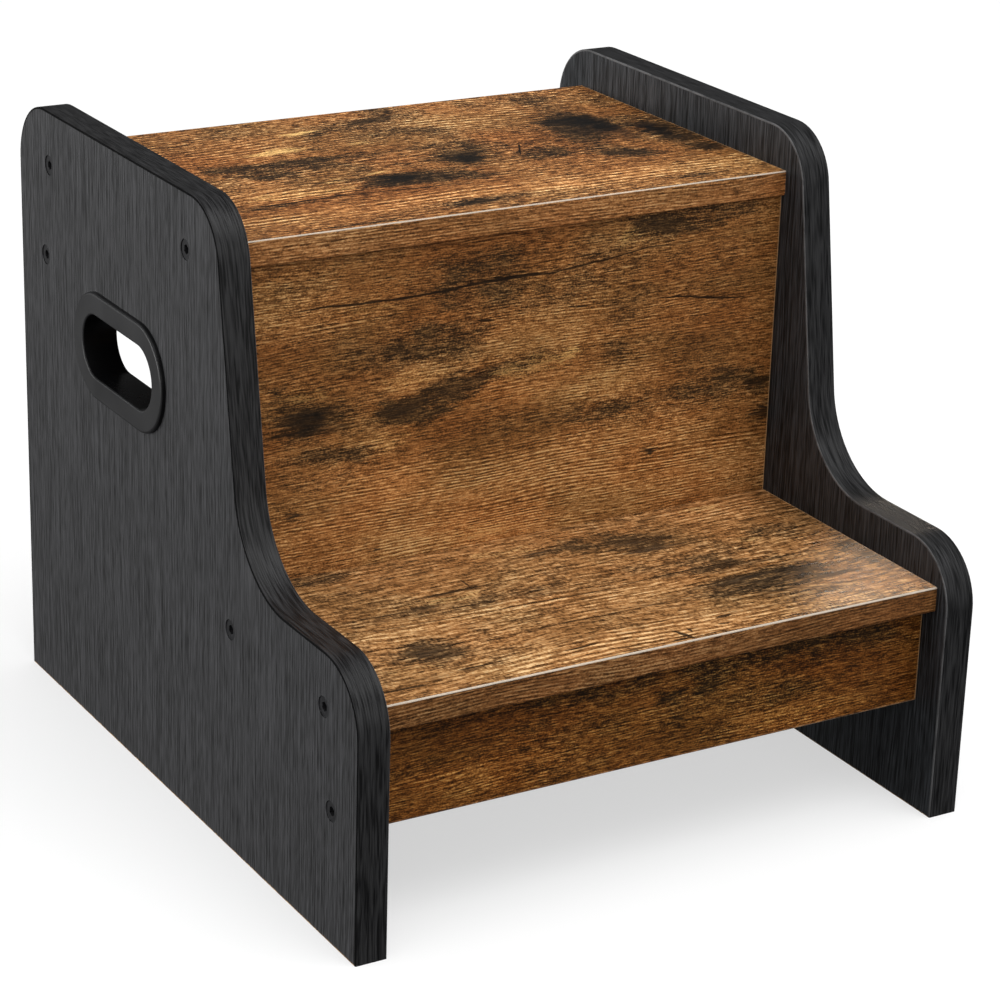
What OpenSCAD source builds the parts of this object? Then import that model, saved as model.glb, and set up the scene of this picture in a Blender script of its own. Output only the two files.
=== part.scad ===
// Step stool with two steps: two profiled side panels hold two treads, two risers and a back rail.
// Frame: Z up, the front faces -Y, +X to the right. Origin on the floor, under the middle of the stool.

/* [Overall] */
// Width over the outer faces of the side panels
stool_w = 316; // [280:1:420]
// Depth of the side panels, front to back
stool_d = 350; // [345:1:370]
// Height of the side panels
stool_h = 294; // [292:1:310]
// Thickness of a side panel
panel_t = 15; // [14:0.5:18]
// Thickness of the treads, risers and rail
board_t = 12; // [11:0.5:13]
// Thickness of the glued edge bands
band_t = 1; // [0.6:0.1:1.5]

/* [Side panel outline] */
// Radius of the upper back corner
back_corner_r = 30; // [20:0.5:36]
// Radius of the upper front corner
top_corner_r = 27.5; // [20:0.5:32]
// Radius of the hollow curve between the sloping edge and the shoulder
neck_r = 48; // [35:0.5:52]
// Radius of the lower front corner
front_corner_r = 30; // [20:0.5:32]
// Height of the shoulder beside the lower step
shoulder_h = 132; // [125:1:140]
// From the front of the panel back to the sloping edge, at shoulder height
slope_foot = 108.7; // [105:0.1:112]
// From the front of the panel back to the sloping edge, at full height
slope_top = 134; // [130:0.5:140]

/* [Steps] */
// Height of the lower step
lower_step_h = 113; // [108:0.5:118]
// Height of the upper step
upper_step_h = 274; // [268:0.5:280]
// From the front of the panels back to the front of the lower tread
lower_tread_inset = 8.5; // [4:0.5:12]
// From the front of the panels back to the front of the top tread
top_tread_inset = 144.5; // [142:0.5:148]
// From the back of the top tread to the back of the panels
top_tread_gap = 21.5; // [18:0.5:26]
// Overhang of the lower tread over the front riser
lower_overhang = 9; // [5:0.5:12]
// Overhang of the top tread over the tall riser
top_overhang = 2.5; // [1.5:0.5:5]
// Height of the front riser and of the back rail
rail_h = 48; // [44:0.5:50]
// From the back of the top tread to the back of the rail
rail_inset = 2; // [1.5:0.5:5]

/* [Hand slot] */
// Length of the finger opening
slot_l = 77.2; // [70:0.2:84]
// Height of the finger opening
slot_h = 30.4; // [26:0.2:34]
// Centre of the opening, behind the middle of the stool
slot_y = 59.3; // [50:0.1:64]
// Height of the middle of the opening
slot_z = 195.7; // [185:0.1:198]
// Width of the flange around the opening
flange_w = 10.6; // [8:0.2:12]
// How far the flange stands proud of the panel
flange_proud = 2.4; // [1.6:0.2:3.2]
// Wall thickness of the sleeve that lines the slot
sleeve_t = 2; // [1.5:0.1:2.5]

/* [Fastener places] */
// From the front of the top tread back to its front screws
top_screw_front = 19; // [10:0.5:40]
// From the back of the top tread forward to its back screws
top_screw_back = 14; // [10:0.5:20]
// From the front of the lower tread back to its front screws
lower_screw_front = 22.5; // [16:0.5:40]
// From the back of the lower tread forward to its back screws
lower_screw_back = 27; // [10:0.5:40]
// From the lower edge of the front riser, or the back rail, up to its screws
rail_screw_h = 9; // [7:0.5:12]
// From those screws up to the dowels
rail_dowel_pitch = 26; // [18:0.5:28]
// From the ends of the tall riser in to its dowels
riser_dowel_end = 37; // [20:1:60]

/* [Fasteners] */
// Radius of the screw shank and of the thread's crest
screw_r = 3.2; // [2.8:0.1:3.4]
// Length of a screw
screw_l = 50; // [40:1:55]
// Radius of the countersunk head
head_r = 4.7; // [4.4:0.1:5]
// Depth of the head below the face of the panel
head_sink = 0.5; // [0.2:0.1:0.8]
// Width across the flats of the hex socket
hex_w = 4; // [3:0.5:4]
// Radius of a dowel
dowel_r = 3; // [2.5:0.5:4]
// Length of a dowel
dowel_l = 29; // [24:1:32]

/* [Hidden] */
$fn = 64;
cut = 1;
play = 0.05;

front_y = -stool_d / 2;
back_y = stool_d / 2;
inner_x = stool_w / 2 - panel_t;
board_l = 2 * inner_x;

// Treads, as [front, back] and their top faces
top_tread_y = [front_y + top_tread_inset, back_y - top_tread_gap];
lower_tread_y = [front_y + lower_tread_inset, top_tread_y[0] + top_overhang];
under_lower = lower_step_h - board_t;
under_top = upper_step_h - board_t;

// Upright boards: the y of each front face. The lower tread butts against the tall riser
front_riser_y = lower_tread_y[0] + lower_overhang;
tall_riser_y = lower_tread_y[1];
rail_y = top_tread_y[1] - rail_inset - board_t;

// Fastener places in the side panels, as [y, z]
half_board = board_t / 2;
TOP_SCREWS = [
    [top_tread_y[0] + top_screw_front, under_top + half_board],
    [top_tread_y[1] - top_screw_back, under_top + half_board]
];
LOWER_SCREWS = [
    [lower_tread_y[0] + lower_screw_front, under_lower + half_board],
    [lower_tread_y[1] - lower_screw_back, under_lower + half_board]
];
RISER_SCREWS = [[front_riser_y + half_board, under_lower - rail_h + rail_screw_h]];
RAIL_SCREWS = [[rail_y + half_board, under_top - rail_h + rail_screw_h]];
RISER_DOWELS = [RISER_SCREWS[0] + [0, rail_dowel_pitch]];
RAIL_DOWELS = [RAIL_SCREWS[0] + [0, rail_dowel_pitch]];
TALL_DOWELS = [
    [tall_riser_y + half_board, under_lower + riser_dowel_end],
    [tall_riser_y + half_board, under_top - riser_dowel_end]
];
ALL_SCREWS = concat(TOP_SCREWS, LOWER_SCREWS, RISER_SCREWS, RAIL_SCREWS);
ALL_DOWELS = concat(TALL_DOWELS, RISER_DOWELS, RAIL_DOWELS);

// Dowel holes: a third of the dowel sits in the panel
dowel_in_panel = 10;
hole_spare = 0.5;
dowel_chamfer = 1;

// Screw shape below its head
head_rim = 0.4;
head_cone = head_r - screw_r;
hex_depth = 2.4;
core_r = 2.3;
ring_pitch = 3;
ring_foot = 0.5;
ring_crest = 1.8;
tip_l = 4;
thread_start = panel_t + 1;
hex_corner_r = hex_w / 2 / cos(30);

// Hand slot
slot_r = slot_h / 2;
slot_half = slot_l / 2 - slot_r;
sleeve_r = slot_r + sleeve_t;
flange_r = slot_r + flange_w;
flange_round = 1.2;
lip_round = 0.8;
arc_steps = 6;

panel_color = "#2b2b2c";
edge_color = "#242425";
board_color = "#7d5430";
grommet_color = "#1c1c1d";
screw_color = "#39393b";
dowel_color = "#d8b98a";

// ---- Side panel outline, drawn in the (y, z) plane ----

lean = atan((slope_top - slope_foot) / (stool_h - shoulder_h));
foot_y = front_y + slope_foot;

// The two arcs beside the sloping edge cross it this deep, so that they meet it at a clean angle
bite = 0.02;
bite_turn = 5;

// y of the sloping edge, pushed sideways by a distance, at a height
function slope_y(z, push) = foot_y + tan(lean) * (z - shoulder_h) + push / cos(lean);

back_corner = [back_y - back_corner_r, stool_h - back_corner_r];
top_corner = [slope_y(stool_h - top_corner_r, top_corner_r - bite), stool_h - top_corner_r];
neck = [slope_y(shoulder_h + neck_r, bite - neck_r), shoulder_h + neck_r];
front_corner = [front_y + front_corner_r, shoulder_h - front_corner_r];

function on_circle(centre, r, angle) = centre + r * [cos(angle), sin(angle)];

// A rounded corner's cut-back: where the arc starts and ends, and a notch between them
function corner_points(centre, r, from, to, end_r) = [
    on_circle(centre, r, from),
    on_circle(centre, r / 4, (from + to) / 2),
    on_circle(centre, end_r, to)
];

// The outline moved inwards by e, with the rounded corners cut back
function outline_points(e, foot) = let(
    back_r = back_corner_r - e,
    top_r = top_corner_r - e,
    front_r = front_corner_r - e,
    hollow_r = neck_r + e
) concat(
    [[front_y + e, foot], [back_y - e, foot]],
    corner_points(back_corner, back_r, 0, 90, back_r),
    corner_points(top_corner, top_r, 90, 180 - lean, top_r - bite),
    [on_circle(neck, hollow_r - bite, -lean), on_circle(neck, hollow_r, -90)],
    corner_points(front_corner, front_r, 90, 180, front_r)
);

// A slice of a disc between two angles less than 180 degrees apart
module pie(centre, r, from, to) {
    reach = 2 * r;
    intersection() {
        translate(centre) circle(r);
        polygon([
            centre,
            on_circle(centre, reach, from),
            on_circle(centre, reach, (from + to) / 2),
            on_circle(centre, reach, to)
        ]);
    }
}

module outline(e, foot) {
    difference() {
        union() {
            polygon(outline_points(e, foot));
            pie(back_corner, back_corner_r - e, 0, 90);
            pie(top_corner, top_corner_r - e, 90, 180 - lean + bite_turn);
            pie(front_corner, front_corner_r - e, 90, 180);
        }
        translate(neck) circle(neck_r + e);
    }
}

// Turns a shape drawn in (y, z) into a slab that runs along X
module along_x(from, length) {
    translate([from, 0, 0]) rotate([90, 0, 90]) linear_extrude(length) children();
}

// ---- Helpers ----

// Puts a child modelled at the right-hand side (+X) on the left as well, or only there
module on_left() {
    mirror([1, 0, 0]) children();
}

module on_both_sides() {
    children();
    on_left() children();
}

// Stands a child that points along +Z on the right panel's outer face, pointing inwards
module fixed_at(place, x) {
    translate([x, place[0], place[1]]) rotate([0, -90, 0]) children();
}

module slot_shape(half, r) {
    square([2 * half, 2 * r], center = true);
    for (side = [-1, 1]) {
        translate([side * half, 0]) circle(r);
    }
}

module board(y, z) {
    translate([-inner_x, y[0], z[0]]) cube([board_l, y[1] - y[0], z[1] - z[0]]);
}

// ---- Fasteners ----

// Screw seen in section from its axis outwards, head at z = head_sink
module screw_section() {
    end = screw_l + head_sink;
    rings = floor((end - tip_l - thread_start) / ring_pitch);
    polygon(concat(
        [
            [0, head_sink],
            [head_r, head_sink],
            [head_r, head_sink + head_rim],
            [screw_r, head_sink + head_rim + head_cone],
            [screw_r, thread_start]
        ],
        [
            for (i = [0:rings - 1], p = [[core_r, ring_foot], [screw_r, ring_crest], [core_r, ring_pitch]])
                [p[0], thread_start + i * ring_pitch + p[1]]
        ],
        [
            [core_r, end - tip_l],
            [core_r / 2, end],
            [0, end]
        ]
    ));
}

module screw() {
    difference() {
        rotate_extrude() screw_section();
        translate([0, 0, head_sink - cut]) cylinder(r = hex_corner_r, h = cut + hex_depth, $fn = 6);
    }
}

// Countersunk hole through a panel
module countersink() {
    rim = head_sink + head_rim;
    translate([0, 0, -cut]) cylinder(r = screw_r + play, h = panel_t + 2 * cut);
    translate([0, 0, -cut]) cylinder(r = head_r + play, h = cut + rim);
    translate([0, 0, rim]) cylinder(r1 = head_r + play, r2 = screw_r + play, h = head_cone);
}

// Pilot hole in the end of a board
module pilot() {
    depth = screw_l + head_sink - panel_t;
    translate([0, 0, panel_t - cut]) cylinder(r = screw_r + play, h = depth + 2 * cut);
}

module dowel() {
    tip_r = dowel_r - dowel_chamfer / 2;
    translate([0, 0, dowel_chamfer]) cylinder(r = dowel_r, h = dowel_l - 2 * dowel_chamfer);
    cylinder(r1 = tip_r, r2 = dowel_r, h = dowel_chamfer);
    translate([0, 0, dowel_l - dowel_chamfer]) cylinder(r1 = dowel_r, r2 = tip_r, h = dowel_chamfer);
}

module dowel_hole() {
    translate([0, 0, -hole_spare]) cylinder(r = dowel_r + play, h = dowel_l + 2 * hole_spare);
}

dowel_x = inner_x + dowel_in_panel;

module screws(places) {
    on_both_sides() for (place = places) fixed_at(place, stool_w / 2) screw();
}

module dowels(places) {
    on_both_sides() for (place = places) fixed_at(place, dowel_x) dowel();
}

// A board with the pilot and dowel holes in its two ends
module drilled_board(y, z, screw_places, dowel_places) {
    difference() {
        board(y, z);
        on_both_sides() for (place = screw_places) fixed_at(place, stool_w / 2) pilot();
        on_both_sides() for (place = dowel_places) fixed_at(place, dowel_x) dowel_hole();
    }
}

// ---- Sub-parts ----

module panel_right() {
    difference() {
        along_x(inner_x, panel_t) outline(band_t, 0);
        along_x(inner_x - cut, panel_t + 2 * cut)
            translate([slot_y, slot_z]) slot_shape(slot_half, sleeve_r + play);
        for (place = ALL_SCREWS) fixed_at(place, stool_w / 2) countersink();
        for (place = ALL_DOWELS) fixed_at(place, dowel_x) dowel_hole();
    }
}

module side_panel_right() {
    color(panel_color) panel_right();
}

module side_panel_left() {
    color(panel_color) on_left() panel_right();
}

module edging_right() {
    difference() {
        along_x(inner_x, panel_t) outline(0, 0);
        along_x(inner_x - cut, panel_t + 2 * cut) outline(band_t, -cut);
    }
}

module side_edging_right() {
    color(edge_color) edging_right();
}

module side_edging_left() {
    color(edge_color) on_left() edging_right();
}

module top_tread() {
    y = [top_tread_y[0] + band_t, top_tread_y[1] - band_t];
    color(board_color) drilled_board(y, [under_top, upper_step_h], TOP_SCREWS, []);
}

module top_tread_front_edging() {
    y = [top_tread_y[0], top_tread_y[0] + band_t];
    color(board_color) board(y, [under_top, upper_step_h]);
}

module top_tread_back_edging() {
    y = [top_tread_y[1] - band_t, top_tread_y[1]];
    color(board_color) board(y, [under_top, upper_step_h]);
}

module lower_tread() {
    y = [lower_tread_y[0] + band_t, lower_tread_y[1]];
    color(board_color) drilled_board(y, [under_lower, lower_step_h], LOWER_SCREWS, []);
}

module lower_tread_front_edging() {
    y = [lower_tread_y[0], lower_tread_y[0] + band_t];
    color(board_color) board(y, [under_lower, lower_step_h]);
}

module tall_riser() {
    y = [tall_riser_y, tall_riser_y + board_t];
    color(board_color) drilled_board(y, [under_lower + band_t, under_top], [], TALL_DOWELS);
}

module tall_riser_edging() {
    color(board_color) board([tall_riser_y, tall_riser_y + board_t], [under_lower, under_lower + band_t]);
}

module front_riser() {
    y = [front_riser_y, front_riser_y + board_t];
    z = [under_lower - rail_h + band_t, under_lower];
    color(board_color) drilled_board(y, z, RISER_SCREWS, RISER_DOWELS);
}

module front_riser_edging() {
    bottom = under_lower - rail_h;
    color(board_color) board([front_riser_y, front_riser_y + board_t], [bottom, bottom + band_t]);
}

module back_rail() {
    y = [rail_y, rail_y + board_t];
    z = [under_top - rail_h + band_t, under_top];
    color(board_color) drilled_board(y, z, RAIL_SCREWS, RAIL_DOWELS);
}

module back_rail_edging() {
    bottom = under_top - rail_h;
    color(board_color) board([rail_y, rail_y + board_t], [bottom, bottom + band_t]);
}

function quarter(centre, r, from) = [
    for (i = [0:arc_steps]) on_circle(centre, r, from - 90 * i / arc_steps)
];

// Section of the grommet: across is the distance from the slot's middle line, up is outwards
module grommet_section() {
    polygon(concat(
        [[slot_r, -panel_t]],
        [[slot_r, flange_proud - lip_round]],
        quarter([slot_r + lip_round, flange_proud - lip_round], lip_round, 180),
        quarter([flange_r - flange_round, flange_proud - flange_round], flange_round, 90),
        [[flange_r, 0], [sleeve_r, 0], [sleeve_r, -panel_t]]
    ));
}

// Sweeps a section around the slot's middle line: two straight runs and two half turns
module around_slot() {
    for (turn = [0, 180]) rotate([0, 0, turn]) {
        translate([slot_half, 0, 0]) rotate([0, 0, -90]) rotate_extrude(angle = 180) children();
        translate([slot_half, 0, 0]) rotate([90, 0, -90]) linear_extrude(2 * slot_half) children();
    }
}

module grommet_right() {
    translate([stool_w / 2, slot_y, slot_z]) rotate([90, 0, 90]) around_slot() grommet_section();
}

module handle_grommet_right() {
    color(grommet_color) grommet_right();
}

module handle_grommet_left() {
    color(grommet_color) on_left() grommet_right();
}

module top_tread_screws() {
    color(screw_color) screws(TOP_SCREWS);
}

module lower_tread_screws() {
    color(screw_color) screws(LOWER_SCREWS);
}

module front_riser_screws() {
    color(screw_color) screws(RISER_SCREWS);
}

module back_rail_screws() {
    color(screw_color) screws(RAIL_SCREWS);
}

module tall_riser_dowels() {
    color(dowel_color) dowels(TALL_DOWELS);
}

module front_riser_dowels() {
    color(dowel_color) dowels(RISER_DOWELS);
}

module back_rail_dowels() {
    color(dowel_color) dowels(RAIL_DOWELS);
}

side_panel_left();
side_panel_right();
side_edging_left();
side_edging_right();
top_tread();
top_tread_front_edging();
top_tread_back_edging();
lower_tread();
lower_tread_front_edging();
tall_riser();
tall_riser_edging();
front_riser();
front_riser_edging();
back_rail();
back_rail_edging();
handle_grommet_left();
handle_grommet_right();
top_tread_screws();
lower_tread_screws();
front_riser_screws();
back_rail_screws();
tall_riser_dowels();
front_riser_dowels();
back_rail_dowels();
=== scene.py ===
import math

import bmesh
import bpy
from mathutils import Matrix, Vector
from mathutils.bvhtree import BVHTree


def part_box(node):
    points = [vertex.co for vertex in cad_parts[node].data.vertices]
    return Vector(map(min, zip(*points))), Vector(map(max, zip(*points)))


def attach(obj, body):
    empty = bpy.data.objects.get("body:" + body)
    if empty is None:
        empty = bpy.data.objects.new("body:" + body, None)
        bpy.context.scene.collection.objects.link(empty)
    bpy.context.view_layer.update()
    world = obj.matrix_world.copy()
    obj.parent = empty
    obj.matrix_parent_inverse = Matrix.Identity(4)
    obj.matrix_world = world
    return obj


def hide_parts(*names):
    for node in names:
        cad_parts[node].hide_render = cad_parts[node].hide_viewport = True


# A step stool with two steps, in metres: X to the right, the front faces -Y, the floor is at Z = 0.
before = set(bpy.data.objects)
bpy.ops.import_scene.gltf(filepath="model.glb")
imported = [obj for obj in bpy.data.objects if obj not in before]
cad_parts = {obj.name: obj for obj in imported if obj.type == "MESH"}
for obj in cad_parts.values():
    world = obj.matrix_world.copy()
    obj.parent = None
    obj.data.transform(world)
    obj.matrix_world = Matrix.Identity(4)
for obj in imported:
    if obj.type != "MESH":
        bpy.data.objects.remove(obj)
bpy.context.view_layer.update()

MM = 0.001
PER_METRE = 1000.0

# ---------------------------------------------------------------- sizes taken from the frame
LOW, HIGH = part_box("side_panel_right")
PANEL_IN_X, PANEL_OUT_X = LOW.x * PER_METRE, HIGH.x * PER_METRE
BAND_LOW, BAND_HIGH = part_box("top_tread_front_edging")
BAND_T = BAND_HIGH.y - BAND_LOW.y

# Rounding of the outer arris of a glued edge band, and of the arris beside its glue line
ARRIS_R = 0.65 * MM
SEAM_R = 0.22 * MM
# How far the painted seam shade of a side panel's band reaches in from the panel's outer face
SEAM_SHADE_WIDTH = 0.2 * MM


# ---------------------------------------------------------------- small helpers
def srgb(red, green, blue):
    """A colour given as three display values from 0 to 255, as linear RGBA."""
    def linear(value):
        value = value / 255.0
        return value / 12.92 if value <= 0.04045 else ((value + 0.055) / 1.055) ** 2.4
    return (linear(red), linear(green), linear(blue), 1.0)


class Graph:
    """Adds shader nodes to a tree. Methods give back an output socket, or the whole node from add."""

    def __init__(self, tree):
        self.tree = tree

    def put(self, socket, value):
        if isinstance(value, bpy.types.NodeSocket):
            self.tree.links.new(value, socket)
        else:
            socket.default_value = value

    def add(self, kind, inputs=None, **settings):
        node = self.tree.nodes.new(kind)
        for name, value in settings.items():
            setattr(node, name, value)
        for name, value in (inputs or {}).items():
            self.put(node.inputs[name], value)
        return node

    def math(self, operation, *values, clamp=False):
        return self.add(
            "ShaderNodeMath", dict(enumerate(values)), operation=operation, use_clamp=clamp
        ).outputs[0]

    def vector(self, operation, *values):
        node = self.add("ShaderNodeVectorMath", dict(enumerate(values)), operation=operation)
        return node.outputs["Value" if operation == "LENGTH" else "Vector"]

    def xyz(self, x=0.0, y=0.0, z=0.0):
        return self.add("ShaderNodeCombineXYZ", {0: x, 1: y, 2: z}).outputs[0]

    def split(self, vector):
        return self.add("ShaderNodeSeparateXYZ", {0: vector}).outputs

    def noise(self, place, size, detail=2.0, roughness=0.5, colour=False):
        """Noise from 0 to 1 whose features are about size = (along, across, deep) millimetres."""
        spread = self.vector("DIVIDE", place, size)
        node = self.add(
            "ShaderNodeTexNoise",
            {"Vector": spread, "Scale": 1.0, "Detail": detail, "Roughness": roughness},
        )
        return node.outputs["Color" if colour else "Fac"]

    def span(self, value, low, high, to_low=0.0, to_high=1.0, smooth=False):
        return self.add(
            "ShaderNodeMapRange",
            {0: value, 1: low, 2: high, 3: to_low, 4: to_high},
            interpolation_type="SMOOTHSTEP" if smooth else "LINEAR",
            clamp=True,
        ).outputs[0]

    def ramp(self, value, stops):
        node = self.add("ShaderNodeValToRGB", {0: value})
        points = node.color_ramp.elements
        while len(points) < len(stops):
            points.new(1.0)
        for point, (position, colour) in zip(points, stops):
            point.position = position
            point.color = colour
        return node.outputs[0]

    def mix(self, factor, a, b, blend="MIX"):
        node = self.add(
            "ShaderNodeMix", {0: factor, 6: a, 7: b}, data_type="RGBA", blend_type=blend
        )
        return node.outputs[2]

    def sum(self, values):
        total = values[0]
        for value in values[1:]:
            total = self.math("ADD", total, value)
        return total


def new_group(name, inputs, outputs):
    """An empty shader node group. inputs and outputs are (name, kind) pairs."""
    tree = bpy.data.node_groups.new(name, "ShaderNodeTree")
    for way, sockets in (("INPUT", inputs), ("OUTPUT", outputs)):
        for socket, kind in sockets:
            tree.interface.new_socket(socket, in_out=way, socket_type="NodeSocket" + kind)
    graph = Graph(tree)
    return graph, graph.add("NodeGroupInput").outputs, graph.add("NodeGroupOutput").inputs


def new_material(name):
    """An empty material: its graph, its Principled shader and its object coordinates in millimetres."""
    material = bpy.data.materials.new(name)
    material.use_nodes = True
    graph = Graph(material.node_tree)
    shader = material.node_tree.nodes["Principled BSDF"]
    place = graph.add("ShaderNodeTexCoord").outputs["Object"]
    return material, graph, shader, graph.vector("MULTIPLY", place, (PER_METRE,) * 3)


def add_bump(graph, shader, height, depth):
    """Bumps the surface by height, from 0 to 1, times depth in metres."""
    bump = graph.add("ShaderNodeBump", {"Height": height, "Strength": 1.0, "Distance": depth})
    graph.put(shader.inputs["Normal"], bump.outputs[0])


# ---------------------------------------------------------------- rustic printed wood
def make_mark_group():
    """One soft elliptical mark: 1 in the middle, 0 outside, times its strength."""
    graph, given, out = new_group(
        "mark",
        [("Place", "Vector"), ("Centre", "Vector"), ("Size", "Vector"), ("Turn", "Float"),
         ("Strength", "Float")],
        [("Mask", "Float")],
    )
    offset = graph.vector("SUBTRACT", given["Place"], given["Centre"])
    turned = graph.add(
        "ShaderNodeVectorRotate", {"Vector": offset, "Angle": given["Turn"]},
        rotation_type="Z_AXIS", invert=True,
    ).outputs[0]
    reach = graph.vector("LENGTH", graph.vector("DIVIDE", turned, given["Size"]))
    inside = graph.span(reach, 1.35, 0.55, smooth=True)
    graph.put(out["Mask"], graph.math("MULTIPLY", inside, given["Strength"]))
    return graph.tree


def make_warp_group():
    """Bends the board's plane for the marks: Blot gives them ragged edges, Line only waves."""
    graph, given, out = new_group(
        "warp", [("Place", "Vector")], [("Blot", "Vector"), ("Line", "Vector")]
    )
    place = given["Place"]

    def shift(size, amount, detail=1.0):
        centred = graph.vector("SUBTRACT", graph.noise(place, size, detail, colour=True), (0.5,) * 3)
        return graph.vector("MULTIPLY", centred, amount)

    slow = shift((26, 17, 40), (13, 8, 0), 2.0)
    fibres = shift((16, 1.3, 40), (26, 1.2, 0))
    fine = shift((2.6, 1.3, 40), (4.5, 2.4, 0), 2.0)
    wave = shift((42, 60, 40), (0, 5.0, 0), 2.0)
    flat = graph.vector("MULTIPLY", place, (1, 1, 0))
    bent = graph.vector("ADD", graph.vector("ADD", slow, fibres), fine)
    graph.put(out["Blot"], graph.vector("ADD", flat, bent))
    ripple = shift((5, 3, 40), (0.6, 0.55, 0), 2.0)
    graph.put(out["Line"], graph.vector("ADD", flat, graph.vector("ADD", wave, ripple)))
    return graph.tree


CLEAN_WOOD = [
    (0.00, srgb(62, 38, 18)),
    (0.22, srgb(94, 60, 30)),
    (0.42, srgb(124, 81, 44)),
    (0.60, srgb(149, 102, 59)),
    (0.80, srgb(182, 133, 85)),
    (1.00, srgb(214, 170, 118)),
]
SMOKED_WOOD = [
    (0.00, srgb(20, 15, 9)),
    (0.30, srgb(42, 30, 18)),
    (0.65, srgb(78, 56, 33)),
    (1.00, srgb(134, 98, 60)),
]
SOOT = [(0.0, srgb(9, 8, 7)), (0.55, srgb(28, 23, 18)), (1.0, srgb(76, 58, 40))]
RED_CAST = (1.04, 0.95, 0.86, 1.0)
YELLOW_CAST = (0.98, 1.04, 1.04, 1.0)
PALE_WOOD = srgb(222, 178, 112)
CRACK_COLOUR = srgb(24, 16, 9)
PORE_COLOUR = srgb(40, 25, 13)
# Growth rings of the print, in millimetres
RING_PITCH, RING_DRIFT = 1.55, 2.0


def make_print_group():
    """The printed wood itself, with how strongly each kind of mark shows at this place."""
    graph, given, out = new_group(
        "rustic_print",
        [("Place", "Vector"), ("Smoke", "Float"), ("Soot", "Float"), ("Pale", "Float"),
         ("Clean", "Float"), ("Crack", "Float")],
        [("Color", "Color"), ("Roughness", "Float"), ("Height", "Float")],
    )
    place = given["Place"]
    wave = graph.noise(place, (130, 45, 60), 1.0, colour=True)
    wave = graph.vector("MULTIPLY", graph.vector("SUBTRACT", wave, (0.5,) * 3), (0, 9, 0))
    grain = graph.vector("ADD", place, wave)

    def layer(where, size, detail, roughness=0.5):
        """Noise stretched to fill -0.5 to 0.5."""
        return graph.span(graph.noise(where, size, detail, roughness), 0.3, 0.7, -0.5, 0.5)

    def times(value, gain):
        return graph.math("MULTIPLY", value, gain)

    drift = times(layer(place, (120, 12, 60), 1.0), RING_DRIFT)
    phase = times(graph.math("ADD", graph.split(grain)[1], drift), math.tau / RING_PITCH)
    fading = graph.span(graph.noise(place, (45, 7, 40), 1.0), 0.35, 0.6, 0.25, 1.0)
    rings = times(graph.math("MULTIPLY", graph.math("SINE", phase), fading), 0.5)
    lines = layer(grain, (34, 0.95, 40), 1.0)
    fibres = layer(grain, (9.0, 0.8, 40), 1.0)
    tone = layer(place, (80, 30, 60), 3.0)
    mottle = layer(place, (15, 8, 60), 4.0, 0.6)
    grit = layer(place, (1.0, 0.7, 40), 1.0)
    hair = layer(grain, (4.6, 0.42, 40), 0.0)
    clean_here = graph.math("MULTIPLY", given["Clean"], 1.0, clamp=True)
    rustic = graph.math("SUBTRACT", 1.0, clean_here)

    # Clean wood: tone, growth rings, fine lines and fibres
    shade = graph.sum([
        0.46, times(tone, 0.3), times(mottle, 0.1), times(lines, 0.16), times(fibres, 0.15),
        times(grit, 0.3), times(clean_here, 0.12), times(hair, 0.42),
        graph.math("MULTIPLY", rings, graph.span(clean_here, 0.0, 1.0, 0.26, 0.6)),
    ])
    hue = graph.span(graph.noise(place, (55, 22, 60), 2.0), 0.35, 0.65)
    clean = graph.ramp(shade, CLEAN_WOOD)
    clean = graph.mix(1.0, clean, graph.mix(hue, RED_CAST, YELLOW_CAST), "MULTIPLY")

    # Smoke: listed marks plus a natural haze, stippled by the grit
    haze = graph.span(graph.math("ADD", mottle, times(tone, 0.7)), -0.25, 0.45, 0.0, 0.56)
    cover = graph.math("ADD", graph.math("MULTIPLY", haze, rustic), given["Smoke"])
    cover = graph.sum([
        cover, times(grit, -0.48), times(lines, -0.2), times(fibres, -0.18), times(hair, -0.3),
    ])
    cover = graph.span(cover, 0.12, 0.98, 0.0, 0.94)
    ash = graph.sum([
        0.46, times(grit, 0.45), times(lines, 0.25), times(fibres, 0.35), times(mottle, 0.25),
        times(hair, 0.45),
    ])
    colour = graph.mix(cover, clean, graph.ramp(ash, SMOKED_WOOD))

    # Pale streaks, then soot over them
    pale = graph.sum([given["Pale"], times(fibres, 0.4), times(grit, 0.3)])
    colour = graph.mix(graph.span(pale, 0.25, 1.0, 0.0, 0.7), colour, PALE_WOOD)
    soot = graph.sum([given["Soot"], times(grit, 0.4), times(lines, 0.5), times(fibres, 0.4)])
    char = graph.ramp(graph.sum([0.36, times(lines, 0.5), times(grit, 0.5)]), SOOT)
    colour = graph.mix(graph.span(soot, 0.2, 0.95, 0.0, 0.93), colour, char)

    # Pores and cracks
    pores = graph.span(graph.noise(grain, (3.4, 0.75, 40), 1.0), 0.61, 0.71, 0.0, 0.4)
    colour = graph.mix(pores, colour, PORE_COLOUR)
    crack = graph.span(graph.math("ADD", given["Crack"], times(fibres, 0.35)), 0.36, 0.74, 0.0, 0.92)
    colour = graph.mix(crack, colour, CRACK_COLOUR)

    graph.put(out["Color"], colour)
    graph.put(out["Roughness"], graph.math("ADD", times(lines, 0.06), times(grit, 0.08)))
    height = graph.sum([times(fibres, 0.5), times(hair, 0.5), times(crack, -0.5)])
    graph.put(out["Height"], height)
    return graph.tree


MARK_GROUP = make_mark_group()
WARP_GROUP = make_warp_group()
PRINT_GROUP = make_print_group()
KINDS = ("Smoke", "Soot", "Pale", "Clean", "Crack")
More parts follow.
